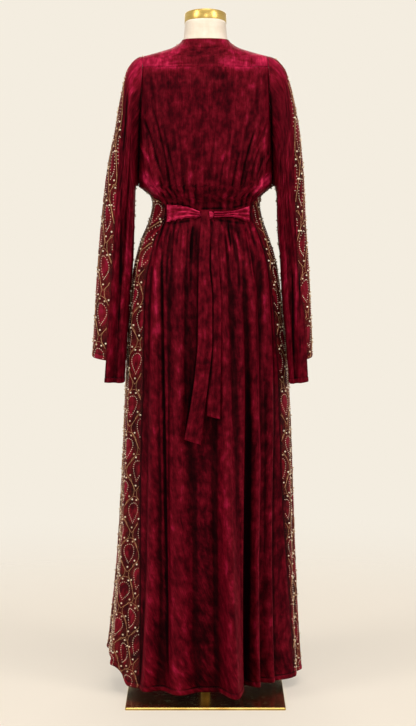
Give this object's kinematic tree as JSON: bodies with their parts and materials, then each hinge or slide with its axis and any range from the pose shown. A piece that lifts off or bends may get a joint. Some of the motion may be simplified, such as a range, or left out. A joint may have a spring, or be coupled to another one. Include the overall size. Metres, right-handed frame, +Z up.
{
  "type": "jalabiya on a dress form",
  "caption": "Floor-length velvet jalabiya with wide sleeves, embroidered front and a waist tie knotted at the back, worn on a limbless dress form on a brass base plate.",
  "frame": {"origin": "middle of the whole outline, on the underside of the base plate, where the stand rests on the floor", "axes": "+Z up, +Y the way the wearer faces, +X towards the wearer's right hand side; the pictured back of the garment faces -Y"},
  "size_m": [0.53, 0.432, 1.6512],
  "materials": {
    "velvet": "crushed velvet, wine red",
    "embroidered_velvet": "wine red velvet with gold thread, small white beads and pearls",
    "linen": "smooth cream linen",
    "brass": "polished and brushed"
  },
  "bodies": {
    "root": {"back": "velvet", "back_yoke": "velvet", "front": "embroidered_velvet", "sleeve_left_back": "velvet", "sleeve_left_front": "embroidered_velvet", "sleeve_right_back": "velvet", "sleeve_right_front": "embroidered_velvet", "tie_left": "velvet", "tie_right": "velvet", "knot": "velvet", "tail_long": "velvet", "tail_short": "velvet", "dress_form": "linen", "neck_cap": "brass", "pole": "brass", "base_plate": "brass"}
  },
  "joints": []
}
